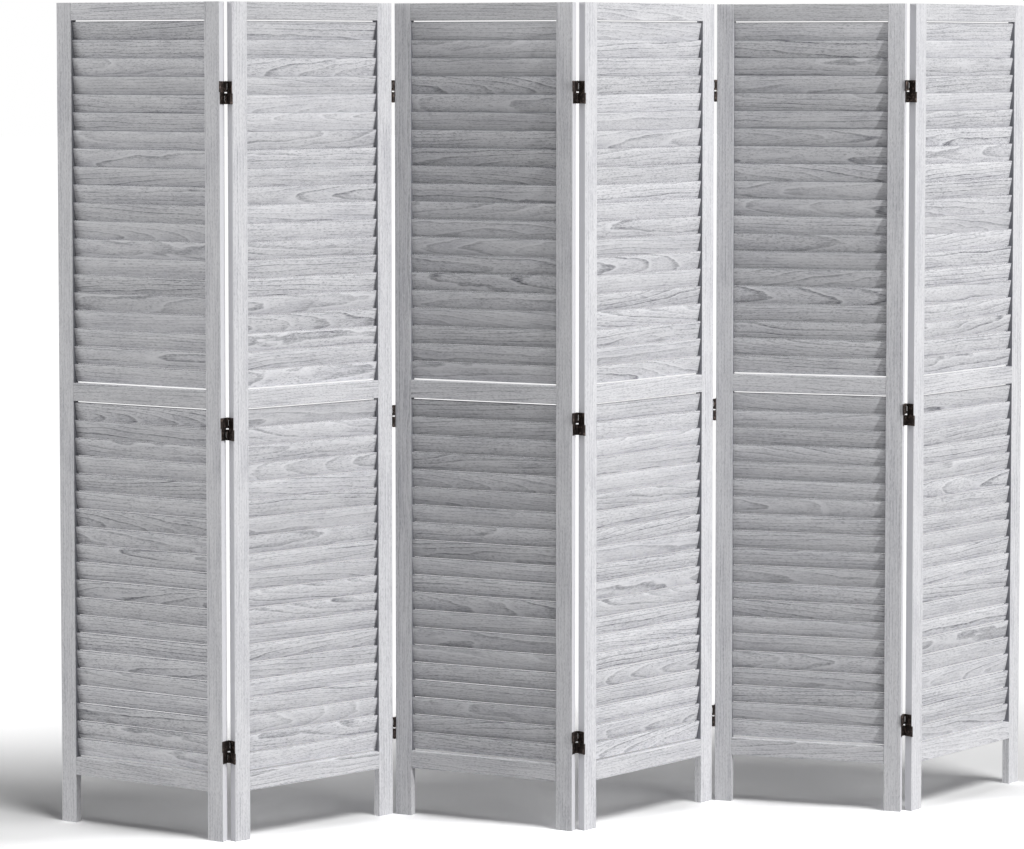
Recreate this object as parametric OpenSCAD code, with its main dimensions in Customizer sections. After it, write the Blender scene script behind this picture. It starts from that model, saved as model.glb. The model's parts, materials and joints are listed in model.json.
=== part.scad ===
// Folding floor screen: six louvred wooden panels joined edge to edge by hinges that fold both ways.
// Z is up, X runs along the zigzag and the panels' front faces look towards -Y. Lengths are in millimetres.

/* [Panel] */
// Height of every panel
panel_h = 1700; // [1300:10:2000]
// Width of every panel over its two stiles
panel_w = 402; // [300:1:600]
// Thickness of the stiles and rails
frame_t = 17.5; // [17.5:0.5:26]
// Width of each stile
stile_w = 37; // [30:1:60]
// Width of the top rail
top_rail_w = 36; // [28:1:80]
// Width of the middle rail
mid_rail_w = 37; // [28:1:80]
// Width of the bottom rail
bottom_rail_w = 37; // [28:1:80]
// Height of the middle rail's lower edge above the floor
mid_rail_z = 880; // [600:5:1000]
// Height of the feet below the bottom rail
foot_h = 100; // [60:5:160]
// Radius of the long edges of the stiles and rails
edge_r = 1.5; // [0.5:0.25:3]
// Straight steps that round one of those edges
edge_steps = 3; // [2:1:5]

/* [Rail joints] */
// Length of the tenon on each end of a rail
tenon_l = 12; // [8:0.5:14]
// Thickness of the tenons
tenon_t = 8; // [5:0.5:10]
// Shoulder left above and below each tenon
tenon_shoulder = 6; // [3:0.5:9]
// Free space past the tip of a tenon
mortise_spare = 2; // [0.5:0.5:3]
// Gap round a tenon in its mortise
tenon_fit = 0.1; // [0.05:0.05:0.3]

/* [Slats] */
// Height from one slat to the next, which is eased a little so that whole slats fill each bay
slat_pitch = 37; // [30:0.5:45]
// Width of a slat from its top edge to its bottom edge
slat_w = 37.5; // [30:0.5:38]
// Thickness of a slat
slat_t = 4.5; // [3:0.25:4.75]
// Lean of the slats from upright, with the top edge forward
slat_lean = 12.5; // [10:0.5:13]
// Depth of a slat's top edge behind the front face
slat_setback = 4.3; // [3:0.1:4.6]
// Gap between a rail and the nearest slat
slat_rail_gap = 2.25; // [1.5:0.25:6]
// Chamfer along the edges of a slat
slat_chamfer = 0.8; // [0.3:0.1:1.2]
// Depth of the slots in the stiles that hold the slats
slot_depth = 6; // [4:0.5:9]
// Gap round a slat in its slot
slot_fit = 0.15; // [0.05:0.05:0.3]
// Gap between the end of a slat and the bottom of its slot
slat_end_gap = 0.5; // [0.25:0.25:2]

/* [Hinges] */
// Height of a whole hinge
hinge_h = 46; // [40:1:60]
// Height of the open slit between the two halves of a hinge
hinge_slit = 3; // [2:0.5:5]
// Distance from the ends of a panel to the middle of the outer hinges
hinge_inset = 182.5; // [140:2.5:240]
// Height of the middle hinge's centre above the floor
mid_hinge_z = 840; // [600:5:1100]
// Distance from the end face of a panel to the hinge axes
axis_gap = 2.4; // [2.4:0.1:4]
// Distance from the faces of a panel out to the hinge axes
axis_proud = 1.5; // [1.4:0.1:3]
// Outer radius of the knuckles
knuckle_r = 2.3; // [2.1:0.05:2.3]
// Radius of the hinge pins
pin_r = 1.35; // [1.2:0.05:1.4]
// Length by which each end of a pin stands out of its knuckles
pin_end = 0.4; // [0.2:0.1:0.6]
// Radial gap between a pin and the leaf knuckles that grip it
pin_grip = 0.02; // [0.01:0.01:0.03]
// Radial gap between a pin and the link that turns on it
pin_play = 0.05; // [0.03:0.01:0.1]
// Thickness of the leaves
leaf_t = 1; // [0.8:0.1:1.1]
// Margin between a leaf and the faces of its stile
leaf_margin = 0.8; // [0.6:0.1:2]
// Thickness of the links
link_t = 1; // [0.8:0.1:1.4]
// Height of the ring at each end of a link
ring_h = 10.8; // [8:0.2:14]
// Gap above and below each ring
ring_play = 0.15; // [0.1:0.05:0.3]
// Gap between the wide part of a link and the knuckles
web_gap = 0.4; // [0.3:0.1:0.8]

/* [Screws] */
// Length of a hinge screw
screw_l = 12; // [8:0.5:13]
// Radius of a screw's head
screw_head_r = 2.6; // [2.2:0.1:3]
// Height of a screw's countersunk head
screw_head_h = 1.5; // [1.2:0.1:2]
// Radius of a screw's shank
screw_r = 1.25; // [1:0.05:1.5]
// Gap round a screw in its leaf and its stile
screw_fit = 0.05; // [0.02:0.01:0.1]
// Depth of the cross recess in a screw's head
cross_depth = 0.8; // [0.5:0.1:1]

/* [Zigzag] */
// Turn of panel 1 from the line of the screen
turn_1 = -39.6; // [-60:0.1:-10]
// Turn of panel 2 from the line of the screen
turn_2 = 28.8; // [10:0.1:60]
// Turn of panel 3 from the line of the screen
turn_3 = -34.6; // [-60:0.1:-10]
// Turn of panel 4 from the line of the screen
turn_4 = 35.3; // [10:0.1:60]
// Turn of panel 5 from the line of the screen
turn_5 = -27.3; // [-60:0.1:-10]
// Turn of panel 6 from the line of the screen
turn_6 = 37.2; // [10:0.1:60]

/* [Hidden] */
PIECES = [
    "left_stile", "right_stile", "top_rail", "mid_rail", "bottom_rail",
    "slats", "hinge_leaves", "hinge_links", "hinge_pins", "hinge_screws"
];
$fn = 48;
wood = [0.86, 0.85, 0.84];
bronze = [0.24, 0.18, 0.14];
turns = [turn_1, turn_2, turn_3, turn_4, turn_5, turn_6];
last = len(turns);
inner_w = panel_w - 2 * stile_w;
top_rail_z = panel_h - top_rail_w;
hinge_zs = [hinge_inset, mid_hinge_z, panel_h - hinge_inset];
half_h = (hinge_h - hinge_slit) / 2;
half_z = (hinge_h + hinge_slit) / 4;
knuckle_h = (half_h - ring_h) / 2 - ring_play;
cut = 1;
cross_w = 0.7;
head_rim = 0.2;
screw_tip = 2;

// The hinge axis that two panels turn on lies behind them at joints 1, 3 and 5 and before them at joints 2 and 4.
function along(p) = [cos(turns[p - 1]), sin(turns[p - 1])];
function behind(p) = [-sin(turns[p - 1]), cos(turns[p - 1])];
function axis_y(at_back) = at_back ? frame_t + axis_proud : -axis_proud;
function joint_y(j) = axis_y(j % 2 == 1);
function start(p) = p == 1 ? [0, 0] : start(p - 1) + (panel_w + axis_gap) * along(p - 1)
    + joint_y(p - 1) * (behind(p - 1) - behind(p)) + axis_gap * along(p);
function at(p, x, y) = start(p) + x * along(p) + y * behind(p);

// Centres and radii of every rounded corner and knuckle, which bound the screen on the floor.
corners = [for (p = [1:last]) for (x = [edge_r, panel_w - edge_r]) for (y = [edge_r, frame_t - edge_r]) at(p, x, y)];
axes = [for (p = [1:last]) for (y = [axis_y(false), axis_y(true)]) for (x = hinged_ends(p)) at(p, x, y)];
function hinged_ends(p) = concat(p > 1 ? [-axis_gap] : [], p < last ? [panel_w + axis_gap] : []);
function low(k) = min(concat([for (c = corners) c[k] - edge_r], [for (c = axes) c[k] - knuckle_r]));
function high(k) = max(concat([for (c = corners) c[k] + edge_r], [for (c = axes) c[k] + knuckle_r]));
middle = [(low(0) + high(0)) / 2, (low(1) + high(1)) / 2];

// Heights of the middles of the slats in a bay.
slat_rise = slat_w * cos(slat_lean) + slat_t * sin(slat_lean);
slat_y = slat_setback + (slat_w * sin(slat_lean) + slat_t * cos(slat_lean)) / 2;
function steps(run) = round(run / slat_pitch);
function bay(first, run) = [for (i = [0:steps(run)]) first + i * run / steps(run)];
slat_ends = 2 * slat_rail_gap + slat_rise;
slat_zs = concat(
    bay(foot_h + bottom_rail_w + slat_ends / 2, mid_rail_z - foot_h - bottom_rail_w - slat_ends),
    bay(mid_rail_z + mid_rail_w + slat_ends / 2, top_rail_z - mid_rail_z - mid_rail_w - slat_ends)
);

function corner_arc(x, y, first) = [
    for (i = [0:edge_steps]) [x, y] + edge_r * [cos(first + i * 90 / edge_steps), sin(first + i * 90 / edge_steps)]
];
function rounded(w, h) = concat(
    corner_arc(w - edge_r, h - edge_r, 0), corner_arc(edge_r, h - edge_r, 90),
    corner_arc(edge_r, edge_r, 180), corner_arc(w - edge_r, edge_r, 270)
);

// Puts a panel that is drawn with its left end at X = 0 and its front face at Y = 0 into the zigzag.
module place(p) {
    translate([start(p)[0] - middle[0], start(p)[1] - middle[1], 0]) rotate([0, 0, turns[p - 1]]) children();
}

// Turns a profile drawn in X and Y so that it stands in Y and Z and runs along X.
module run_along(length) {
    rotate([90, 0, 90]) linear_extrude(length) children();
}

// Section of a slat about its middle, larger all round by the given gap.
module slat_section(gap) {
    t = slat_t + 2 * gap;
    w = slat_w + 2 * gap;
    c = slat_chamfer;
    rotate(slat_lean)
        polygon([
            [c - t / 2, -w / 2], [t / 2 - c, -w / 2], [t / 2, c - w / 2], [t / 2, w / 2 - c],
            [t / 2 - c, w / 2], [c - t / 2, w / 2], [-t / 2, w / 2 - c], [-t / 2, c - w / 2]
        ]);
}

module tenon(rail_z, rail_w, length, gap) {
    h = rail_w - 2 * tenon_shoulder + 2 * gap;
    translate([0, frame_t / 2 - tenon_t / 2 - gap, rail_z + tenon_shoulder - gap])
        cube([length, tenon_t + 2 * gap, h]);
}

module rail(rail_z, rail_w) {
    color(wood) {
        translate([stile_w, 0, rail_z]) run_along(inner_w) polygon(rounded(frame_t, rail_w));
        translate([stile_w - tenon_l, 0, 0]) tenon(rail_z, rail_w, inner_w + 2 * tenon_l, 0);
    }
}

// A countersunk screw that points down, with its head's face at Z = 0.
function screw_profile(gap, above) = [
    [0, above], [screw_head_r + gap, above], [screw_head_r + gap, -head_rim], [screw_r + gap, -screw_head_h],
    [screw_r + gap, screw_tip - screw_l], [0, -screw_l - gap]
];

module screw_hole() {
    rotate_extrude() polygon(screw_profile(screw_fit, cut));
}

module screw() {
    difference() {
        rotate_extrude() polygon(screw_profile(0, 0));
        for (turn = [0, 90])
            rotate([0, 0, turn]) translate([-screw_head_r * 0.6, -cross_w / 2, -cross_depth])
                cube([screw_head_r * 1.2, cross_w, cross_depth + cut]);
    }
}

// Places hinge fittings on an end of a panel: drawn as for the left end, and turned half round for the right end.
module at_end(right) {
    translate([right ? panel_w : 0, right ? frame_t : 0, 0]) rotate([0, 0, right ? 180 : 0]) children();
}

module at_screws() {
    for (z = hinge_zs) for (half = [-1, 1])
        translate([-leaf_t, frame_t / 2, z + half * half_z]) rotate([0, -90, 0]) children();
}

// Draws its children for each end of a panel that has hinges.
module each_hinged_end(p) {
    if (p > 1) at_end(false) children();
    if (p < last) at_end(true) children();
}

module stile(right, hinged) {
    x = right ? panel_w - stile_w : 0;
    slot_x = right ? panel_w - stile_w - cut : stile_w - slot_depth;
    mortise = tenon_l + mortise_spare;
    mortise_x = right ? panel_w - stile_w - cut : stile_w - mortise;
    color(wood)
        difference() {
            translate([x, 0, 0]) linear_extrude(panel_h) polygon(rounded(stile_w, frame_t));
            for (z = slat_zs)
                translate([slot_x, slat_y, z]) run_along(slot_depth + cut) slat_section(slot_fit);
            translate([mortise_x, 0, 0]) {
                tenon(top_rail_z, top_rail_w, mortise + cut, tenon_fit);
                tenon(mid_rail_z, mid_rail_w, mortise + cut, tenon_fit);
                tenon(foot_h, bottom_rail_w, mortise + cut, tenon_fit);
            }
            if (hinged) at_end(right) at_screws() screw_hole();
        }
}

module slats() {
    length = inner_w + 2 * (slot_depth - slat_end_gap);
    color(wood)
        for (z = slat_zs)
            translate([stile_w - slot_depth + slat_end_gap, slat_y, z]) run_along(length) slat_section(0);
}

// Axis of the pins in one half of a hinge, drawn as for the left end: the leaf's own pin is at the back above the slit
// and at the front below it. Turned half round for a right end, it is the other way about.
function own_axis(half) = [-axis_gap, axis_y(half > 0), half * half_z];

module knuckle(half) {
    reach = axis_proud + leaf_margin + leaf_t;
    for (side = [-1, 1])
        translate(own_axis(half) + [0, 0, side * (half_h - knuckle_h) / 2]) {
            cylinder(h = knuckle_h, r = knuckle_r, center = true);
            translate([axis_gap - leaf_t, half > 0 ? -reach : 0, -knuckle_h / 2]) cube([leaf_t, reach, knuckle_h]);
        }
}

module leaf(z) {
    difference() {
        translate([0, 0, z]) {
            translate([-leaf_t, leaf_margin, -hinge_h / 2]) cube([leaf_t, frame_t - 2 * leaf_margin, hinge_h]);
            for (half = [-1, 1]) knuckle(half);
        }
        for (half = [-1, 1])
            translate([0, 0, z]) translate(own_axis(half))
                cylinder(h = half_h + cut, r = pin_r + pin_grip, center = true);
        at_screws() screw_hole();
    }
}

module hinge_leaves(p) {
    color(bronze) each_hinged_end(p) for (z = hinge_zs) leaf(z);
}

// A link joins a pin at the front to a pin at the back of the same half, and its wide part fills the gap between panels.
module link(half) {
    web_y = knuckle_r + web_gap - axis_proud;
    span = frame_t + 2 * axis_proud;
    translate([-axis_gap, 0, half * half_z])
        difference() {
            union() {
                for (back = [false, true])
                    translate([0, axis_y(back), 0]) cylinder(h = ring_h, r = knuckle_r, center = true);
                translate([-link_t / 2, -axis_proud, -ring_h / 2]) cube([link_t, span, ring_h]);
                translate([-link_t / 2, web_y, -half_h / 2]) cube([link_t, frame_t - 2 * web_y, half_h]);
            }
            for (back = [false, true])
                translate([0, axis_y(back), 0]) cylinder(h = ring_h + cut, r = pin_r + pin_play, center = true);
        }
}

// Of the two links at a joint, each panel carries the one that holds its pin on the far side from the axis in use:
// the lower link on even panels and the upper one on odd panels.
module hinge_links(p) {
    color(bronze) each_hinged_end(p) for (z = hinge_zs) translate([0, 0, z]) link(p % 2 == 1 ? 1 : -1);
}

module pin() {
    chamfer = pin_end / 2;
    h = half_h + 2 * pin_end;
    translate([0, 0, -h / 2])
        rotate_extrude()
            polygon([
                [0, 0], [pin_r - chamfer, 0], [pin_r, chamfer], [pin_r, h - chamfer], [pin_r - chamfer, h], [0, h]
            ]);
}

module hinge_pins(p) {
    color(bronze)
        each_hinged_end(p)
            for (z = hinge_zs) for (half = [-1, 1])
                translate([0, 0, z]) translate(own_axis(half)) pin();
}

module hinge_screws(p) {
    color(bronze) each_hinged_end(p) at_screws() screw();
}

for (p = [1:last]) {
    name = str("panel_", p, "_");
    place(p) stile(false, p > 1);
    place(p) stile(true, p < last);
    place(p) rail(top_rail_z, top_rail_w);
    place(p) rail(mid_rail_z, mid_rail_w);
    place(p) rail(foot_h, bottom_rail_w);
    place(p) slats();
    place(p) hinge_leaves(p);
    place(p) hinge_links(p);
    place(p) hinge_pins(p);
    place(p) hinge_screws(p);
}
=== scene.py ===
import json
import math
import random

import bmesh
import bpy
from mathutils import Matrix, Vector


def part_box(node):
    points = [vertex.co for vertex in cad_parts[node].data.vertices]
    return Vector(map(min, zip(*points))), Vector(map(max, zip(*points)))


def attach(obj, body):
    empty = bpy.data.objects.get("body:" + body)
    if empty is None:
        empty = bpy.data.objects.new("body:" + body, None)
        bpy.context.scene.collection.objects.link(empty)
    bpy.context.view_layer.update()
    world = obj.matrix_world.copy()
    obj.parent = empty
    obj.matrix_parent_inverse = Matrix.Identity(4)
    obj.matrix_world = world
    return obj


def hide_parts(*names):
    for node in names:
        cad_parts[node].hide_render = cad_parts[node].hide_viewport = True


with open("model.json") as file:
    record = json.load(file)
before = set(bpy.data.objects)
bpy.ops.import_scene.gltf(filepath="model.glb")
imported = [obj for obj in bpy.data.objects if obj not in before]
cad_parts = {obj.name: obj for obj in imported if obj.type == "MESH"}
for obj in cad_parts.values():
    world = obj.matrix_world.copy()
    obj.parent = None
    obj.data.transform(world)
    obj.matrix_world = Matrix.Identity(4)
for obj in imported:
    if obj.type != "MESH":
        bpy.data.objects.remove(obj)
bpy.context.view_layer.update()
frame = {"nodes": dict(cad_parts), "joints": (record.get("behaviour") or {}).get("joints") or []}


# ---------------------------------------------------------------------------------------------
# How the six panels stand: each is turned about the upright pins of its hinges, left and right
# by turns. The front left corner of each follows from the pins and from where they sit beside
# the stile, 2.4 mm off its end face and 1.5 mm proud of its back or of its front.
PANEL_W = 0.402
PANEL_T = 0.0175
PIN_OFF_END = 0.0024
PIN_PROUD = 0.0015
PANEL_TURNS = [-39.6, 28.8, -34.6, 35.3, -27.3, 37.2]
PANELS = len(PANEL_TURNS)

pins = [Vector(joint["pos_m"]) for joint in sorted(frame["joints"], key=lambda j: j["name"])]
panel_stands = []
for panel, turn in enumerate(PANEL_TURNS):
    joint = min(panel, len(pins) - 1)
    beside_stile = PANEL_W + PIN_OFF_END if joint == panel else -PIN_OFF_END
    proud = PANEL_T + PIN_PROUD if joint % 2 == 0 else -PIN_PROUD
    turned = Matrix.Rotation(math.radians(turn), 4, "Z")
    pin_on_panel = Vector((beside_stile, proud, pins[joint].z))
    panel_stands.append(Matrix.Translation(pins[joint]) @ turned @ Matrix.Translation(-pin_on_panel))


# ---------------------------------------------------------------------------------------------
# Stiles: the two uprights of each panel, paulownia boards planed to 37 x 17.5 mm with their
# edges rounded over, slotted for the slats, and wiped with a thin white wash that leaves the
# grain showing in grey. Their lower ends are the feet.
STILE_TONES = (0.94, 0.99)
STILE_COVER = 0.55
STILE_SLOPE = 0.010
STILE_SEED = 100


def srgb(hex_colour):
    """A colour written as sRGB hex, turned to the linear values that a shader takes."""
    parts = [int(hex_colour[i:i + 2], 16) / 255 for i in (1, 3, 5)]
    linear = [p / 12.92 if p <= 0.04045 else ((p + 0.055) / 1.055) ** 2.4 for p in parts]
    return (*linear, 1.0)


def add_node(tree, kind, sockets=None, **settings):
    """Adds one node. A socket given as another node's output is linked, any other is set."""
    node = tree.nodes.new(kind)
    for name, value in settings.items():
        setattr(node, name, value)
    for name, value in (sockets or {}).items():
        if isinstance(value, bpy.types.NodeSocket):
            tree.links.new(value, node.inputs[name])
        else:
            node.inputs[name].default_value = value
    return node


# Whitewashed paulownia: a pale, light, open-pored wood, planed and wiped with thin white paint,
# which dries to a matt, silvery white. The rings of the tree are drawn as shells round a pith
# that lies beside and behind each board, so flat boards show arches and edges show straight
# lines. The wash lies thin over the hard late wood, which stays grey, and fills the soft wood.
WASH = "#e3e3e6"
OUTER_EDGE_WHITE = "#e8e8ec"
WASH_THIN = "#cfcfd4"
STREAK = "#f7f7fa"
LATE_WOOD = "#62636b"
PORE = "#7d7e86"
# Grey painted as shade on the stiles' inner faces between the slats, and on the slats' rims as wear and
# painted shade.
SHADE_AND_WEAR_GREY = "#8b8c92"
RING = 0.0062
NOISE_MIDDLE = (0.5, 0.5, 0.5)
RING_WANDER = (0.0, 0.012, 0.015)
UNEVEN_YEARS = 1.7
EDGE_COVER = 0.3
PORE_DEPTH = 0.0004
PORE_RELIEF = 0.35
WASH_ROUGHNESS = 0.62
LATE_WOOD_ROUGHNESS = 0.8
WOOD_IOR = 1.45
WOOD_SPECULAR = 0.35

paulownia = bpy.data.materials.new("whitewashed_paulownia")
paulownia.use_nodes = True
wood_tree = paulownia.node_tree
wood_tree.nodes.clear()

# Each board carries its own place along, across and through the board, how it was cut from the
# tree (pith beside it, pith behind it, slope of the grain), its wash (tone, cover, pattern) and
# its special edges (the way to its outer edge, whether it has rims, and how much grey is painted
# on the rims, as wear and as painted shade).
in_board = add_node(wood_tree, "ShaderNodeAttribute", attribute_name="grain_at").outputs["Vector"]
along, beside = add_node(wood_tree, "ShaderNodeSeparateXYZ", {0: in_board}).outputs[:2]
carried = {}
for name in ("board_cut", "board_wash", "board_edge"):
    carried[name] = add_node(wood_tree, "ShaderNodeAttribute", attribute_name=name).outputs["Vector"]
    carried[name] = add_node(wood_tree, "ShaderNodeSeparateXYZ", {0: carried[name]}).outputs
pith_beside, pith_behind, slope = carried["board_cut"]
tone, cover, seed = carried["board_wash"]
outer_way, has_rims, wear_and_shade = carried["board_edge"]

# Noise drawn out along the board, given as grains to the metre along, across and through it.
# The rings wander over 45 mm, and the wash was wiped on in patches 30 mm wide. Real pores are
# 0.2 mm wide. They are drawn as bundles 2.3 mm wide and flecks 1.4 mm wide, and the breaks in
# the late wood are 2 mm wide, so coarse that they show from where the whole screen is seen.
pattern = {}
for name, grains_per_metre, detail, roughness in (
        ("wander", (5.0, 22.0, 22.0), 3.0, 0.5),
        ("wiped", (6.0, 36.0, 36.0), 3.0, 0.6),
        ("breaks", (110.0, 520.0, 520.0), 2.0, 0.6),
        ("bundles", (16.0, 430.0, 430.0), 2.0, 0.6),
        ("flecks", (150.0, 700.0, 700.0), 2.0, 0.7)):
    drawn_out = add_node(wood_tree, "ShaderNodeVectorMath", {0: in_board, 1: grains_per_metre},
                         operation="MULTIPLY").outputs[0]
    pattern[name] = add_node(
        wood_tree, "ShaderNodeTexNoise",
        {"Vector": drawn_out, "W": seed, "Scale": 1.0, "Detail": detail, "Roughness": roughness},
        noise_dimensions="4D").outputs

# The tree did not grow straight: the rings wander by a few millimetres over a hand's width.
grown = pattern["wander"]["Color"]
for operation, other in (("SUBTRACT", NOISE_MIDDLE), ("MULTIPLY", RING_WANDER), ("ADD", in_board)):
    grown = add_node(wood_tree, "ShaderNodeVectorMath", {0: grown, 1: other},
                     operation=operation).outputs[0]
grown = add_node(wood_tree, "ShaderNodeSeparateXYZ", {0: grown}).outputs
across = add_node(wood_tree, "ShaderNodeMath", {0: grown[1], 1: pith_beside},
                  operation="SUBTRACT").outputs[0]
deep = add_node(wood_tree, "ShaderNodeMath", {0: grown[0], 1: slope, 2: pith_behind},
                operation="MULTIPLY_ADD").outputs[0]
deep = add_node(wood_tree, "ShaderNodeMath", {0: deep, 1: grown[2]}, operation="ADD").outputs[0]
from_pith = add_node(wood_tree, "ShaderNodeCombineXYZ", {1: across, 2: deep}).outputs[0]
from_pith = add_node(wood_tree, "ShaderNodeVectorMath", {0: from_pith}, operation="LENGTH").outputs[1]
rings = add_node(wood_tree, "ShaderNodeMath", {0: from_pith, 1: RING}, operation="DIVIDE").outputs[0]
season = add_node(wood_tree, "ShaderNodeMath", {0: rings}, operation="FRACT").outputs[0]

# Some years grew a hard dark line and some hardly one.
year = add_node(wood_tree, "ShaderNodeMath", {0: rings}, operation="FLOOR").outputs[0]
year = add_node(wood_tree, "ShaderNodeMath", {0: year, 1: seed}, operation="ADD").outputs[0]
growth = add_node(wood_tree, "ShaderNodeTexWhiteNoise", {"W": year}, noise_dimensions="1D").outputs[0]
growth = add_node(wood_tree, "ShaderNodeMath", {0: growth, 1: UNEVEN_YEARS}, operation="POWER").outputs[0]

# How far out a place lies towards the outer edge of a stile, its inner edge, or a slat's rims.
outward = add_node(wood_tree, "ShaderNodeMath", {0: beside, 1: outer_way}, operation="MULTIPLY").outputs[0]
inward = add_node(wood_tree, "ShaderNodeMath", {0: outward, 1: -1.0}, operation="MULTIPLY").outputs[0]
rim = add_node(wood_tree, "ShaderNodeMath", {0: beside}, operation="ABSOLUTE").outputs[0]
rim = add_node(wood_tree, "ShaderNodeMath", {0: rim, 1: has_rims}, operation="MULTIPLY").outputs[0]

# What each place of a board is. A row follows a measure from its low to its high value, and the
# share goes softly from the one given for low to the one given for high. The last four measures
# are metres from the board's middle: a stile ends at 18.5 mm to each side, its foot begins 750 mm
# down, and a slat ends at 18.75 mm.
share = {}
for name, measure, low, high, at_low, at_high in (
        ("late wood begins", season, 0.66, 0.90, 0.0, 1.0),
        ("late wood ends", season, 0.93, 1.0, 1.0, 0.0),
        ("early wood", season, 0.02, 0.22, 0.55, 0.0),
        ("good year", growth, 0.0, 1.0, 0.40, 1.0),
        ("line left bare", pattern["wiped"]["Fac"], 0.34, 0.62, 0.40, 1.0),
        ("line unbroken", pattern["breaks"]["Fac"], 0.38, 0.58, 0.45, 1.0),
        ("wash thin", pattern["wiped"]["Fac"], 0.40, 0.74, 0.0, 0.9),
        ("bundle pore", pattern["bundles"]["Fac"], 0.54, 0.68, 0.0, 0.36),
        ("fleck pore", pattern["flecks"]["Fac"], 0.51, 0.64, 0.0, 0.50),
        ("bundle streak", pattern["bundles"]["Fac"], 0.34, 0.46, 0.45, 0.0),
        ("fleck streak", pattern["flecks"]["Fac"], 0.36, 0.49, 0.40, 0.0),
        ("outer edge", outward, 0.0172, 0.0184, 0.0, 1.0),
        ("inner edge", inward, 0.0179, 0.0185, 0.0, 1.0),
        ("above the foot", along, -0.752, -0.748, 0.0, 1.0),
        ("slat rim", rim, 0.0180, 0.0187, 0.0, 1.0)):
    share[name] = add_node(
        wood_tree, "ShaderNodeMapRange",
        {"Value": measure, "From Min": low, "From Max": high, "To Min": at_low, "To Max": at_high},
        interpolation_type="SMOOTHSTEP").outputs[0]

# The wash was wiped on by hand, so it covers the late wood's lines more in some places than in
# others, and each line is a row of pores, so it is broken along its length. The outer edges are
# drawn nearly plain white, with little of the grain showing.
edge_cover = add_node(wood_tree, "ShaderNodeMapRange",
                      {"Value": share["outer edge"], "To Min": 1.0, "To Max": EDGE_COVER},
                      interpolation_type="SMOOTHSTEP").outputs[0]
cover = add_node(wood_tree, "ShaderNodeMath", {0: cover, 1: edge_cover}, operation="MULTIPLY").outputs[0]
late_wood = share["late wood begins"]
for factor in (share["late wood ends"], share["good year"], share["line left bare"],
               share["line unbroken"], cover):
    late_wood = add_node(wood_tree, "ShaderNodeMath", {0: late_wood, 1: factor},
                         operation="MULTIPLY").outputs[0]
pores = add_node(wood_tree, "ShaderNodeMath", {0: share["bundle pore"], 1: share["fleck pore"]},
                 operation="MAXIMUM").outputs[0]
pores = add_node(wood_tree, "ShaderNodeMath", {0: pores, 1: cover}, operation="MULTIPLY").outputs[0]
streaks = share["bundle streak"]
for other in (share["fleck streak"], share["early wood"]):
    streaks = add_node(wood_tree, "ShaderNodeMath", {0: streaks, 1: other}, operation="MAXIMUM").outputs[0]

# Painted shade: the stiles' inner faces between the slats, above the feet, are painted grey for
# the shade in that recess. The slats' own long edges are painted the same grey, partly as wear
# rubbed back to the wood and partly as painted shade in the crease between one slat and the next.
crevice_shade = add_node(wood_tree, "ShaderNodeMath", {0: share["inner edge"], 1: share["above the foot"]},
                   operation="MULTIPLY").outputs[0]
rim_wear_and_shade = add_node(wood_tree, "ShaderNodeMath", {0: share["slat rim"], 1: wear_and_shade},
                  operation="MULTIPLY").outputs[0]
painted_shade_and_wear =add_node(wood_tree, "ShaderNodeMath", {0: crevice_shade, 1: rim_wear_and_shade}, operation="MAXIMUM").outputs[0]

colour = srgb(WASH)
for amount, tint in ((share["wash thin"], WASH_THIN), (late_wood, LATE_WOOD), (pores, PORE),
                     (streaks, STREAK), (share["outer edge"], OUTER_EDGE_WHITE), (painted_shade_and_wear, SHADE_AND_WEAR_GREY)):
    colour = add_node(wood_tree, "ShaderNodeMix", {0: amount, 6: colour, 7: srgb(tint)},
                      data_type="RGBA").outputs[2]
colour = add_node(wood_tree, "ShaderNodeVectorMath", {0: colour, "Scale": tone},
                  operation="SCALE").outputs[0]
hollows = add_node(wood_tree, "ShaderNodeMath", {0: late_wood, 1: pores}, operation="ADD").outputs[0]
hollows = add_node(wood_tree, "ShaderNodeBump",
                   {"Height": hollows, "Strength": PORE_RELIEF, "Distance": PORE_DEPTH},
                   invert=True).outputs[0]
matt = add_node(wood_tree, "ShaderNodeMapRange",
                {"Value": late_wood, "To Min": WASH_ROUGHNESS, "To Max": LATE_WOOD_ROUGHNESS},
                interpolation_type="SMOOTHSTEP").outputs[0]
surface = add_node(wood_tree, "ShaderNodeBsdfPrincipled",
                   {"Base Color": colour, "Roughness": matt, "Normal": hollows,
                    "IOR": WOOD_IOR, "Specular IOR Level": WOOD_SPECULAR}).outputs[0]
add_node(wood_tree, "ShaderNodeOutputMaterial", {"Surface": surface})

# Each panel was made from one stack of boards, and some stacks came out of the wash lighter. A
# frame board's middle lies 20 to 70 mm beside the pith and 20 to 60 mm off it the other way.
PANEL_TONES = [1.06, 1.10, 0.98, 1.07, 0.97, 1.01]
PITH_BESIDE = (0.02, 0.07)
PITH_BEHIND = (0.02, 0.06)
WASH_PATTERNS = (1, 60)
SAME_CORNER = 1e-6
SHARP_EDGE = math.radians(40)


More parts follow.
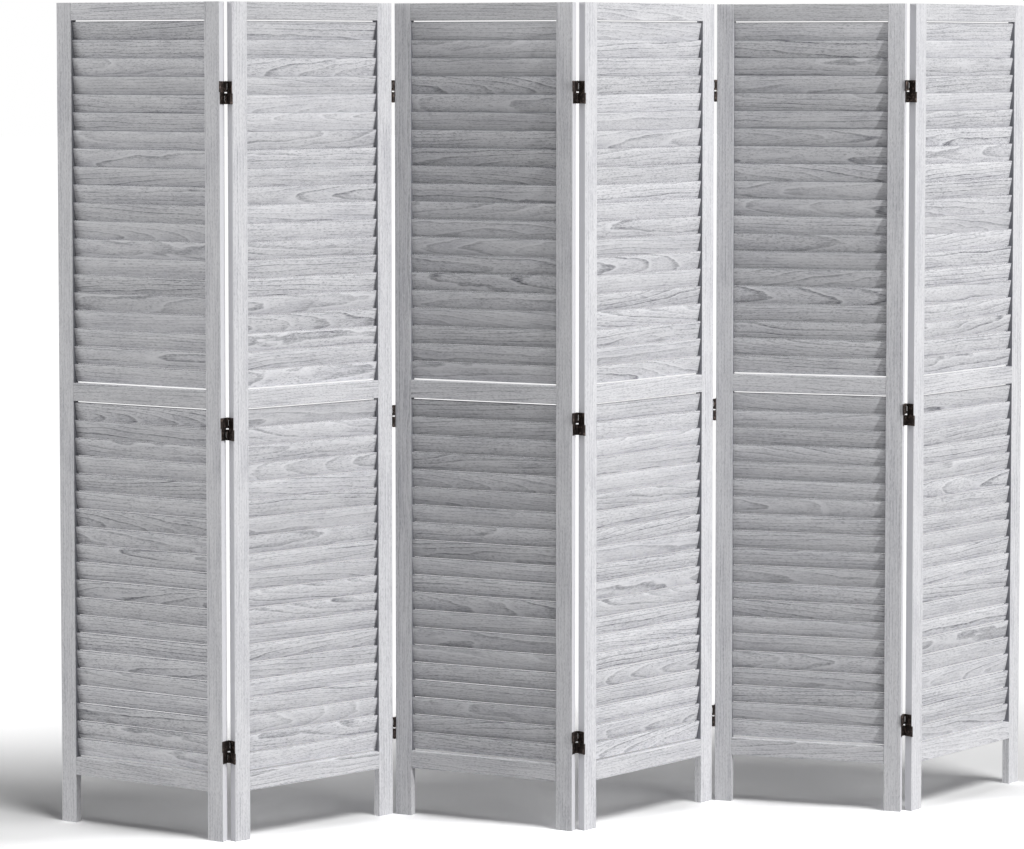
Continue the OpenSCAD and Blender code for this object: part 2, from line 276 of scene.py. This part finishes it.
def frame_board(node, panel, chance, upright, outer_way, tone, cover, slope):
    """A merged copy of one frame board that knows how its grain runs, riding on its panel."""
    shell = bmesh.new()
    shell.from_mesh(frame["nodes"][node].data)
    bmesh.ops.remove_doubles(shell, verts=shell.verts, dist=SAME_CORNER)
    mesh = bpy.data.meshes.new(node + "_board")
    shell.to_mesh(mesh)
    shell.free()
    back_to_panel = panel_stands[panel].inverted()
    spots = [back_to_panel @ vertex.co for vertex in mesh.vertices]
    middle = [(min(s[i] for s in spots) + max(s[i] for s in spots)) / 2 for i in range(3)]
    grain_at = []
    for spot in spots:
        x, y, z = (spot[i] - middle[i] for i in range(3))
        grain_at += (z, x, y) if upright else (x, z, y)
    cut = (chance.choice((-1, 1)) * chance.uniform(*PITH_BESIDE), chance.uniform(*PITH_BEHIND),
           chance.uniform(-slope, slope))
    wash = (PANEL_TONES[panel] * tone, cover, chance.uniform(*WASH_PATTERNS))
    edge = (outer_way, 0, 0)
    for name, values in (("grain_at", grain_at), ("board_cut", cut * len(spots)),
                         ("board_wash", wash * len(spots)), ("board_edge", edge * len(spots))):
        mesh.attributes.new(name, "FLOAT_VECTOR", "POINT").data.foreach_set("vector", values)
    mesh.materials.append(paulownia)
    mesh.shade_smooth()
    mesh.set_sharp_from_angle(angle=SHARP_EDGE)
    board = bpy.data.objects.new(node + "_board", mesh)
    bpy.context.scene.collection.objects.link(board)
    board.modifiers.new("rounded_edges", "WEIGHTED_NORMAL").keep_sharp = True
    finished = board.evaluated_get(bpy.context.evaluated_depsgraph_get())
    board.data = bpy.data.meshes.new_from_object(finished)
    board.modifiers.clear()
    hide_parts(node)
    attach(board, f"panel_{panel + 1}")


for panel in range(PANELS):
    chance = random.Random(STILE_SEED + panel)
    for side, outer_way in (("left", -1), ("right", 1)):
        tone = chance.uniform(*STILE_TONES)
        frame_board(f"panel_{panel + 1}_{side}_stile", panel, chance, upright=True, outer_way=outer_way,
                    tone=tone, cover=STILE_COVER, slope=STILE_SLOPE)


# ---------------------------------------------------------------------------------------------
# Rails: three boards across each panel, of the same wood, with a stub tenon at each end glued
# into the stiles. Their grain runs level. Each has its own tone, given panel by panel.
RAIL_TONES = {
    "top": [1.01, 0.79, 0.82, 0.93, 0.78, 0.89],
    "mid": [0.86, 0.95, 0.98, 0.95, 0.97, 0.95],
    "bottom": [0.85, 0.93, 0.92, 0.91, 0.95, 0.97],
}
RAIL_COVER = 0.8
RAIL_SLOPE = 0.06
RAIL_SEED = 200

for panel in range(PANELS):
    chance = random.Random(RAIL_SEED + panel)
    for rail, tones in RAIL_TONES.items():
        frame_board(f"panel_{panel + 1}_{rail}_rail", panel, chance, upright=False, outer_way=0,
                    tone=tones[panel], cover=RAIL_COVER, slope=RAIL_SLOPE)


# ---------------------------------------------------------------------------------------------
# Slats: twenty thin boards in each bay, sawn and planed to 37.5 x 4.5 mm, pushed into slanted
# slots in the stiles so that the top of each leans forward over the foot of the next.
SLATS_PER_BAY = 20
SLAT_LENGTH = 0.339
SLAT_WIDTH = 0.0375
SLAT_THICKNESS = 0.0045
SLAT_ROUNDING = 0.0008
SLAT_SETBACK = 0.0043
SLAT_LEAN = math.radians(12.5)
SLAT_SLACK = math.radians(0.2)
SLAT_BOW = 0.0003
POINTS_ALONG_SLAT = 4
ROUNDING_STEPS = 2
SLAT_SEED = 11
# How much grey each panel's slat rims get, partly wear and partly painted shade: more on the panels turned
# away from the key lamp.
PANEL_RIM_WEAR_AND_SHADE = [1.1, 0.55, 1.3, 0.6, 1.2, 0.6]

# The height and the depth that a leaning slat takes up give the places of the lowest and the
# highest slat in each bay, to the nearest micrometre.
slat_rise = round(SLAT_WIDTH * math.cos(SLAT_LEAN) + SLAT_THICKNESS * math.sin(SLAT_LEAN), 6)
slat_depth = SLAT_WIDTH * math.sin(SLAT_LEAN) + SLAT_THICKNESS * math.cos(SLAT_LEAN)
slat_middle = round(SLAT_SETBACK + slat_depth / 2, 6)
slats_low, slats_high = (corner[2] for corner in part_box("panel_1_slats"))
mid_low, mid_high = (corner[2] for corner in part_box("panel_1_mid_rail"))
gap_to_rail = slats_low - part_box("panel_1_bottom_rail")[1][2]
lower_first = slats_low + slat_rise / 2
lower_last = mid_low - gap_to_rail - slat_rise / 2
upper_first = mid_high + gap_to_rail + slat_rise / 2
upper_last = slats_high - slat_rise / 2
SLAT_INPUTS = [
    ("Slat Length", "Float", SLAT_LENGTH),
    ("Slat Width", "Float", SLAT_WIDTH),
    ("Slat Thickness", "Float", SLAT_THICKNESS),
    ("Edge Rounding", "Float", SLAT_ROUNDING),
    ("Slats Per Bay", "Int", SLATS_PER_BAY),
    ("Lowest Slat", "Float", lower_first),
    ("Lower Pitch", "Float", (lower_last - lower_first) / (SLATS_PER_BAY - 1)),
    ("Lowest Upper Slat", "Float", upper_first),
    ("Upper Pitch", "Float", (upper_last - upper_first) / (SLATS_PER_BAY - 1)),
    ("Depth In Panel", "Float", slat_middle),
    ("Lean", "Float", SLAT_LEAN),
    ("Lean Spread", "Float", SLAT_SLACK),
    ("Bow", "Float", SLAT_BOW),
    ("Panel Width", "Float", PANEL_W),
    ("Panel Turn", "Float", 0.0),
    ("Panel Corner", "Vector", (0.0, 0.0, 0.0)),
    ("Panel Tone", "Float", 1.0),
    ("Panel Rim Wear And Shade", "Float", 1.0),
    ("Wood", "Material", None),
    ("Seed", "Int", SLAT_SEED),
]
louvres = bpy.data.node_groups.new("louvre_slats", "GeometryNodeTree")
for name, kind, value in SLAT_INPUTS:
    socket = louvres.interface.new_socket(name, in_out="INPUT", socket_type="NodeSocket" + kind)
    if value is not None:
        socket.default_value = value
louvres.interface.new_socket("Slats", in_out="OUTPUT", socket_type="NodeSocketGeometry")
given = add_node(louvres, "NodeGroupInput").outputs

# One slat: a rounded section drawn along a line, with its own coordinates kept for the grain.
half = add_node(louvres, "ShaderNodeMath", {0: given["Slat Length"], 1: 0.5},
                operation="MULTIPLY").outputs[0]
minus = add_node(louvres, "ShaderNodeMath", {0: half, 1: -1.0}, operation="MULTIPLY").outputs[0]
left_end = add_node(louvres, "ShaderNodeCombineXYZ", {0: minus}).outputs[0]
right_end = add_node(louvres, "ShaderNodeCombineXYZ", {0: half}).outputs[0]
line = add_node(louvres, "GeometryNodeCurvePrimitiveLine", {"Start": left_end, "End": right_end}).outputs[0]
line = add_node(louvres, "GeometryNodeResampleCurve", {"Curve": line, "Count": POINTS_ALONG_SLAT}).outputs[0]
section = add_node(louvres, "GeometryNodeCurvePrimitiveQuadrilateral",
                   {"Width": given["Slat Thickness"], "Height": given["Slat Width"]}).outputs[0]
section = add_node(louvres, "GeometryNodeFilletCurve",
                   {"Curve": section, "Radius": given["Edge Rounding"], "Count": ROUNDING_STEPS},
                   mode="POLY").outputs[0]
slat = add_node(louvres, "GeometryNodeCurveToMesh",
                {"Curve": line, "Profile Curve": section, "Fill Caps": True}).outputs[0]
on_slat = add_node(louvres, "GeometryNodeInputPosition").outputs[0]
on_slat = add_node(louvres, "ShaderNodeSeparateXYZ", {0: on_slat}).outputs
on_slat = add_node(louvres, "ShaderNodeCombineXYZ",
                   {0: on_slat[0], 1: on_slat[2], 2: on_slat[1]}).outputs[0]
slat = add_node(louvres, "GeometryNodeStoreNamedAttribute",
                {"Geometry": slat, "Name": "grain_at", "Value": on_slat},
                data_type="FLOAT_VECTOR", domain="POINT").outputs[0]

# Two upright rows of slots, one for each bay.
middle = add_node(louvres, "ShaderNodeMath", {0: given["Panel Width"], 1: 0.5},
                  operation="MULTIPLY").outputs[0]
rows = add_node(louvres, "GeometryNodeJoinGeometry")
for first, pitch in (("Lowest Upper Slat", "Upper Pitch"), ("Lowest Slat", "Lower Pitch")):
    lowest = add_node(louvres, "ShaderNodeCombineXYZ",
                      {0: middle, 1: given["Depth In Panel"], 2: given[first]}).outputs[0]
    step = add_node(louvres, "ShaderNodeCombineXYZ", {2: given[pitch]}).outputs[0]
    row = add_node(louvres, "GeometryNodeMeshLine",
                   {"Count": given["Slats Per Bay"], "Start Location": lowest, "Offset": step})
    louvres.links.new(row.outputs[0], rows.inputs[0])

# Each slat sits a little loose in its slots.
slack = add_node(louvres, "ShaderNodeMath", {0: given["Lean Spread"], 1: -1.0},
                 operation="MULTIPLY").outputs[0]
slack = add_node(louvres, "FunctionNodeRandomValue",
                 {2: slack, 3: given["Lean Spread"], "Seed": given["Seed"]}, data_type="FLOAT").outputs[1]
lean = add_node(louvres, "ShaderNodeMath", {0: given["Lean"], 1: slack}, operation="ADD").outputs[0]
lean = add_node(louvres, "ShaderNodeCombineXYZ", {0: lean}).outputs[0]
slats = add_node(louvres, "GeometryNodeInstanceOnPoints",
                 {"Points": rows.outputs[0], "Instance": slat, "Rotation": lean}).outputs[0]

# Each slat was cut from another place in the tree (pith beside it, pith behind it, slope of the
# grain) and took the wash in its own way (tone, cover, pattern). Its rims get as much grey, as wear
# and as painted shade, as its panel gives.
LEAST_CUT, MOST_CUT = (-0.055, 0.015, -0.07), (0.055, 0.075, 0.07)
LEAST_WASH, MOST_WASH = (0.92, 0.7, 1.0), (1.05, 1.25, 60.0)
OTHER_DRAW = 1000.0
cut = add_node(louvres, "FunctionNodeRandomValue", {0: LEAST_CUT, 1: MOST_CUT, "Seed": given["Seed"]},
               data_type="FLOAT_VECTOR").outputs[0]
other_seed = add_node(louvres, "ShaderNodeMath", {0: given["Seed"], 1: OTHER_DRAW},
                      operation="ADD").outputs[0]
wash = add_node(louvres, "FunctionNodeRandomValue", {0: LEAST_WASH, 1: MOST_WASH, "Seed": other_seed},
                data_type="FLOAT_VECTOR").outputs[0]
wash = add_node(louvres, "ShaderNodeSeparateXYZ", {0: wash}).outputs
toned = add_node(louvres, "ShaderNodeMath", {0: wash[0], 1: given["Panel Tone"]},
                 operation="MULTIPLY").outputs[0]
wash = add_node(louvres, "ShaderNodeCombineXYZ", {0: toned, 1: wash[1], 2: wash[2]}).outputs[0]
rims = add_node(louvres, "ShaderNodeCombineXYZ", {1: 1.0, 2: given["Panel Rim Wear And Shade"]}).outputs[0]
for name, value in (("board_cut", cut), ("board_wash", wash), ("board_edge", rims)):
    slats = add_node(louvres, "GeometryNodeStoreNamedAttribute",
                     {"Geometry": slats, "Name": name, "Value": value},
                     data_type="FLOAT_VECTOR", domain="INSTANCE").outputs[0]
slats = add_node(louvres, "GeometryNodeRealizeInstances", {"Geometry": slats}).outputs[0]

# Thin boards never stay flat: each bows a little between its slots, one way or the other by how
# it was cut.
kept = {}
for name in ("grain_at", "board_cut"):
    kept[name] = add_node(louvres, "GeometryNodeInputNamedAttribute", {"Name": name},
                          data_type="FLOAT_VECTOR").outputs[0]
    kept[name] = add_node(louvres, "ShaderNodeSeparateXYZ", {0: kept[name]}).outputs[0]
bow = add_node(louvres, "ShaderNodeMath", {0: kept["grain_at"], 1: half}, operation="DIVIDE").outputs[0]
bow = add_node(louvres, "ShaderNodeMath", {0: bow, 1: bow}, operation="MULTIPLY").outputs[0]
bow = add_node(louvres, "ShaderNodeMath", {0: 1.0, 1: bow}, operation="SUBTRACT").outputs[0]
bow_way = add_node(louvres, "ShaderNodeMath", {0: kept["board_cut"]}, operation="SIGN").outputs[0]
for factor in (bow_way, given["Bow"]):
    bow = add_node(louvres, "ShaderNodeMath", {0: bow, 1: factor}, operation="MULTIPLY").outputs[0]
bow = add_node(louvres, "ShaderNodeCombineXYZ", {1: bow}).outputs[0]
slats = add_node(louvres, "GeometryNodeSetPosition", {"Geometry": slats, "Offset": bow}).outputs[0]
stand = add_node(louvres, "ShaderNodeCombineXYZ", {2: given["Panel Turn"]}).outputs[0]
slats = add_node(louvres, "GeometryNodeTransform",
                 {"Geometry": slats, "Translation": given["Panel Corner"], "Rotation": stand}).outputs[0]
slats = add_node(louvres, "GeometryNodeSetMaterial",
                 {"Geometry": slats, "Material": given["Wood"]}).outputs[0]
add_node(louvres, "NodeGroupOutput", {0: slats})

for panel in range(PANELS):
    node = f"panel_{panel + 1}_slats"
    boards = bpy.data.objects.new(node + "_boards", bpy.data.meshes.new(node + "_boards"))
    bpy.context.scene.collection.objects.link(boards)
    maker = boards.modifiers.new("louvres", "NODES")
    maker.node_group = louvres
    wanted = {"Panel Turn": math.radians(PANEL_TURNS[panel]), "Seed": SLAT_SEED + panel,
              "Wood": paulownia, "Panel Tone": PANEL_TONES[panel], "Panel Rim Wear And Shade": PANEL_RIM_WEAR_AND_SHADE[panel],
              "Panel Corner": panel_stands[panel].translation}
    for socket in louvres.interface.items_tree:
        if socket.name in wanted:
            maker[socket.identifier] = wanted[socket.name]
    finished = boards.evaluated_get(bpy.context.evaluated_depsgraph_get())
    boards.data = bpy.data.meshes.new_from_object(finished)
    boards.modifiers.clear()
    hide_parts(node)
    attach(boards, f"panel_{panel + 1}")


# ---------------------------------------------------------------------------------------------
# Hinges: stamped brass leaves and links with rolled knuckles, plated dark as old bronze. The
# plating is near black in the hollows and rubbed brown where hands and the other leaf touch it.
# The pins and screws are turned brass with the same plating, glossier and more rubbed.
HINGE_FINISHES = [
    ("dark_bronze_plated_sheet", "#37312f", "#73655f", 0.50, ("hinge_leaves", "hinge_links")),
    ("dark_bronze_plated_pin", "#3a3331", "#7b6c65", 0.40, ("hinge_pins",)),
    ("dark_bronze_plated_screw", "#3c3532", "#85766e", 0.42, ("hinge_screws",)),
]

# Dark bronze plating is a satin metal, mottled by wear and by the dip that coloured it. The
# mottles are 6 mm wide. The grit from tumbling is finer than 0.1 mm and is drawn 0.7 mm wide, so
# coarse that it shows.
PLATING_METALLIC = 0.85
MOTTLES_PER_METRE = 160.0
MOTTLE_DETAIL = 4.0
MOTTLE_ROUGHNESS = 0.65
WEAR_BEGINS, WORN_THROUGH = 0.50, 0.66
GRIT_PER_METRE = 1400.0
GRIT_DETAIL = 2.0
GRIT_DEPTH = 0.0001
GRIT_RELIEF = 0.25
SMOOTHER, ROUGHER = -0.08, 0.12

for finish, dark, rubbed_brown, roughness, pieces in HINGE_FINISHES:
    plating = bpy.data.materials.new(finish)
    plating.use_nodes = True
    plating_tree = plating.node_tree
    plating_tree.nodes.clear()
    on_hinge = add_node(plating_tree, "ShaderNodeTexCoord").outputs["Object"]
    worn = add_node(plating_tree, "ShaderNodeTexNoise",
                    {"Vector": on_hinge, "Scale": MOTTLES_PER_METRE, "Detail": MOTTLE_DETAIL,
                     "Roughness": MOTTLE_ROUGHNESS}).outputs["Fac"]
    worn = add_node(plating_tree, "ShaderNodeMapRange",
                    {"Value": worn, "From Min": WEAR_BEGINS, "From Max": WORN_THROUGH},
                    interpolation_type="SMOOTHSTEP").outputs[0]
    tint = add_node(plating_tree, "ShaderNodeMix", {0: worn, 6: srgb(dark), 7: srgb(rubbed_brown)},
                    data_type="RGBA").outputs[2]
    grit = add_node(plating_tree, "ShaderNodeTexNoise",
                    {"Vector": on_hinge, "Scale": GRIT_PER_METRE, "Detail": GRIT_DETAIL}).outputs["Fac"]
    gloss = add_node(plating_tree, "ShaderNodeMapRange",
                     {"Value": grit, "To Min": roughness + SMOOTHER,
                      "To Max": roughness + ROUGHER}).outputs[0]
    skin = add_node(plating_tree, "ShaderNodeBump",
                    {"Height": grit, "Strength": GRIT_RELIEF, "Distance": GRIT_DEPTH}).outputs[0]
    surface = add_node(plating_tree, "ShaderNodeBsdfPrincipled",
                       {"Base Color": tint, "Metallic": PLATING_METALLIC, "Roughness": gloss,
                        "Normal": skin}).outputs[0]
    add_node(plating_tree, "ShaderNodeOutputMaterial", {"Surface": surface})
    for panel in range(PANELS):
        for piece in pieces:
            hinge_part = frame["nodes"][f"panel_{panel + 1}_{piece}"]
            hinge_part.data.materials.clear()
            hinge_part.data.materials.append(plating)


# ---------------------------------------------------------------------------------------------
# The studio floor: plain, pale and wide. The camera sees its paint lighter than it is, so that
# open floor shows white. Round the screen and behind it the camera sees the paint darker. This is a
# painted shadow, an oval long along the screen, that deepens the cast shadow there. All other rays
# meet plain pale paint.
FLOOR_CORNERS = [(-40, -12, 0), (40, -12, 0), (40, 60, 0), (-40, 60, 0)]
FLOOR_WHITE = "#e6e6e6"
SHADOW_PAINT = 1.8
OPEN_PAINT = 3.0
SHADOW_NARROWED = (0.4, 1.0, 0.0)
SHADOW_MIDDLE = (0.0, -0.25, 0.0)
OPEN_ROUND_SCREEN = (0.42, 1.2)
OPEN_BEFORE_SCREEN = (0.02, -0.16)

floor_mesh = bpy.data.meshes.new("studio_floor")
floor_mesh.from_pydata(FLOOR_CORNERS, [], [(0, 1, 2, 3)])
floor = bpy.data.objects.new("studio_floor", floor_mesh)
bpy.context.scene.collection.objects.link(floor)
floor_paint = bpy.data.materials.new("studio_floor_paint")
floor_paint.use_nodes = True
floor_tree = floor_paint.node_tree
floor_tree.nodes.clear()
on_floor = add_node(floor_tree, "ShaderNodeTexCoord").outputs["Object"]
# Painted shadow: the seen paint darkens towards the screen in an oval long along it, and clears in front of
# it.
away = add_node(floor_tree, "ShaderNodeVectorMath",
                {0: on_floor, 1: SHADOW_NARROWED, 2: SHADOW_MIDDLE}, operation="MULTIPLY_ADD").outputs[0]
away = add_node(floor_tree, "ShaderNodeVectorMath", {0: away}, operation="LENGTH").outputs[1]
backward = add_node(floor_tree, "ShaderNodeSeparateXYZ", {0: on_floor}).outputs[1]
paints = []
for measure, (ends, opens) in ((away, OPEN_ROUND_SCREEN), (backward, OPEN_BEFORE_SCREEN)):
    paints.append(add_node(floor_tree, "ShaderNodeMapRange",
                           {"Value": measure, "From Min": ends, "From Max": opens,
                            "To Min": SHADOW_PAINT, "To Max": OPEN_PAINT}).outputs[0])
seen = add_node(floor_tree, "ShaderNodeMath", {0: paints[0], 1: paints[1]}, operation="MAXIMUM").outputs[0]
seen = add_node(floor_tree, "ShaderNodeBsdfDiffuse", {"Color": seen}).outputs[0]
plain = add_node(floor_tree, "ShaderNodeBsdfDiffuse", {"Color": srgb(FLOOR_WHITE)}).outputs[0]
by_camera = add_node(floor_tree, "ShaderNodeLightPath").outputs["Is Camera Ray"]
mixed = add_node(floor_tree, "ShaderNodeMixShader", {0: by_camera, 1: plain, 2: seen}).outputs[0]
add_node(floor_tree, "ShaderNodeOutputMaterial", {"Surface": mixed})
floor_mesh.materials.append(floor_paint)


# ---------------------------------------------------------------------------------------------
# White paper all round the studio: camera rays, mirrored rays and rays through glass see it as
# white, and it gives hardly any light to the screen.
PAPER = "#ffffff"
PAPER_LIGHT = 0.02

studio = bpy.data.worlds.new("white_studio")
bpy.context.scene.world = studio
studio.use_nodes = True
paper_tree = studio.node_tree
paper_tree.nodes.clear()
rays = add_node(paper_tree, "ShaderNodeLightPath").outputs
white = rays["Is Camera Ray"]
for ray in ("Is Glossy Ray", "Is Transmission Ray"):
    white = add_node(paper_tree, "ShaderNodeMath", {0: white, 1: rays[ray]}, operation="MAXIMUM").outputs[0]
white = add_node(paper_tree, "ShaderNodeMapRange",
                 {"Value": white, "To Min": PAPER_LIGHT, "To Max": 1.0}).outputs[0]
paper = add_node(paper_tree, "ShaderNodeBackground", {"Color": srgb(PAPER), "Strength": white}).outputs[0]
add_node(paper_tree, "ShaderNodeOutputWorld", {"Surface": paper})


# ---------------------------------------------------------------------------------------------
# The lamps: the key is a small hard lamp, five and a half metres off to the front right and two
# metres up, and far softboxes fill in from above and beside. Only the high softbox lights the
# floor, as if boards kept the others off it, so it alone casts the shadow there.
HIGH_SOFTBOX = "high_softbox"
SOFTBOX_DISTANCE = 6.0
KEY_PLACE = (3.94, -3.94, 2.03)
KEY_WATTS = 570.0
KEY_RADIUS = 0.04

# Degrees to the right of the front and up from level, how wide each looks, and its strength.
SOFTBOXES = [
    (HIGH_SOFTBOX, 40, 62, 25, 1.22),
    ("top_left_softbox", -20, 60, 40, 0.46),
    ("front_softbox", 15, 20, 60, 0.17),
    ("right_softbox", 75, 10, 30, 0.33),
    ("left_softbox", -72, 10, 30, 0.30),
    ("far_left_softbox", -100, 10, 30, 1.42),
    ("back_softbox", 190, 35, 60, 0.6),
]

lamps = []
for name, to_the_right, up, width, strength in SOFTBOXES:
    light = bpy.data.lights.new(name, "SUN")
    light.energy = strength
    light.angle = math.radians(width)
    turn, lift = math.radians(to_the_right), math.radians(up)
    way = Vector((math.sin(turn) * math.cos(lift), -math.cos(turn) * math.cos(lift), math.sin(lift)))
    lamp = bpy.data.objects.new(name, light)
    lamp.location = way * SOFTBOX_DISTANCE
    lamp.rotation_euler = way.to_track_quat("Z", "Y").to_euler()
    lamps.append(lamp)
light = bpy.data.lights.new("key_lamp", "POINT")
light.energy = KEY_WATTS
light.shadow_soft_size = KEY_RADIUS
lamp = bpy.data.objects.new("key_lamp", light)
lamp.location = KEY_PLACE
lamps.append(lamp)

shaded = bpy.data.collections.new("kept_from_low_lamps")
shaded.objects.link(floor)
shaded.collection_objects[0].light_linking.link_state = "EXCLUDE"
for lamp in lamps:
    bpy.context.scene.collection.objects.link(lamp)
    if lamp.name != HIGH_SOFTBOX:
        lamp.light_linking.receiver_collection = shaded


# ---------------------------------------------------------------------------------------------
# The camera stands seven metres off, a little left of the middle, and looks slightly down
# through a long lens that is shifted, so that the stiles stay upright in the picture.
SENSOR = 36.0
LENS = 119.12
LENS_SHIFT = -0.1752
CAMERA_PLACE = (-1.4092, -6.8931, 1.5916)
CAMERA_TILT = math.radians(86.8)
CAMERA_HEADING = math.radians(-10.628)

camera_data = bpy.data.cameras.new("camera")
camera_data.sensor_width = SENSOR
camera_data.lens = LENS
camera_data.shift_y = LENS_SHIFT
camera = bpy.data.objects.new("camera", camera_data)
bpy.context.scene.collection.objects.link(camera)
camera.location = CAMERA_PLACE
camera.rotation_euler = (CAMERA_TILT, 0.0, CAMERA_HEADING)
bpy.context.scene.camera = camera
bpy.context.scene.view_settings.view_transform = "Standard"
